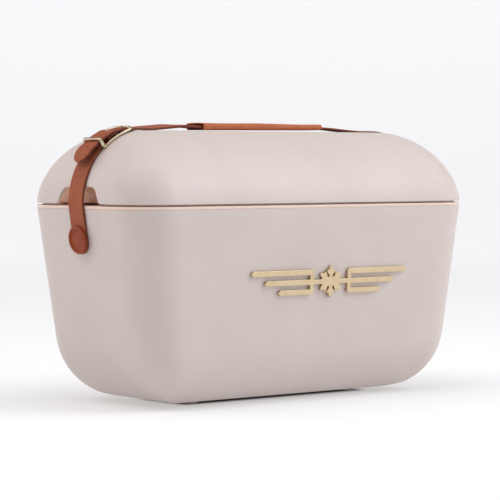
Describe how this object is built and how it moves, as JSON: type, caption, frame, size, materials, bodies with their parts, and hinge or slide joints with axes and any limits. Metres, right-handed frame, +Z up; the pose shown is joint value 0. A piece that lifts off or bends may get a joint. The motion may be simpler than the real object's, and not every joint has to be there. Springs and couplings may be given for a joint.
{
  "type": "cooler chest",
  "caption": "Portable double-walled cooler chest with a domed lift-off lid, finger notches, a buckled leather carrying strap and a padded grip.",
  "frame": {"origin": "middle of the footprint, on the surface that the feet stand on", "axes": "+X along the length towards the end without the buckle, -Y the front with the ornament, +Z up"},
  "size_m": [0.437, 0.1976, 0.2709],
  "materials": {
    "shell_plastic": "fine matt moulded plastic, pale mauve grey",
    "liner_plastic": "satin moulded plastic, pale peach",
    "foam": "expanded foam",
    "rubber": "matt moulded rubber",
    "gold_metal": "pale champagne gold plating, satin",
    "knob_plastic": "leather-brown, semi-gloss",
    "steel": "zinc plated",
    "strap_leather": "tan brown leather with painted edges",
    "grip_leather": "orange tan leather wrap"
  },
  "bodies": {
    "tub": {"outer_shell": "shell_plastic", "body_insulation": "foam", "inner_liner": "liner_plastic", "foot_front_left": "rubber", "foot_front_right": "rubber", "foot_rear_left": "rubber", "foot_rear_right": "rubber", "front_ornament": "gold_metal", "knob_left": "knob_plastic", "knob_right": "knob_plastic", "knob_plate_left": "steel", "knob_plate_right": "steel", "knob_screw_left": "steel", "knob_screw_right": "steel"},
    "lid": {"lid_shell": "shell_plastic", "lid_insulation": "foam", "lid_liner": "liner_plastic", "lid_gasket": "rubber", "finger_cup_left": "liner_plastic", "finger_cup_right": "liner_plastic", "strap_top": "strap_leather", "grip_sleeve": "grip_leather", "grip_core": "foam"},
    "left_strap": {"strap_left": "strap_leather", "strap_tail": "strap_leather", "buckle_frame": "gold_metal", "buckle_bar": "steel"},
    "right_strap": {"strap_right": "strap_leather"},
    "prong": {"buckle_prong": "gold_metal"}
  },
  "joints": [
    {"name": "lid_lift", "type": "slide", "parent": "tub", "child": "lid", "axis": [0, 0, 1], "range_m": [0, 0.28]},
    {"name": "left_strap_swing", "type": "hinge", "parent": "lid", "child": "left_strap", "pos_m": [-0.1503, 0, 0.2669], "axis": [0, 1, 0], "range_deg": [0, 60]},
    {"name": "right_strap_swing", "type": "hinge", "parent": "lid", "child": "right_strap", "pos_m": [0.1503, 0, 0.2669], "axis": [0, -1, 0], "range_deg": [0, 60]},
    {"name": "prong_lift", "type": "hinge", "parent": "left_strap", "child": "prong", "pos_m": [-0.17877, 0, 0.2579], "axis": [0, -1, 0], "range_deg": [0, 45]}
  ]
}
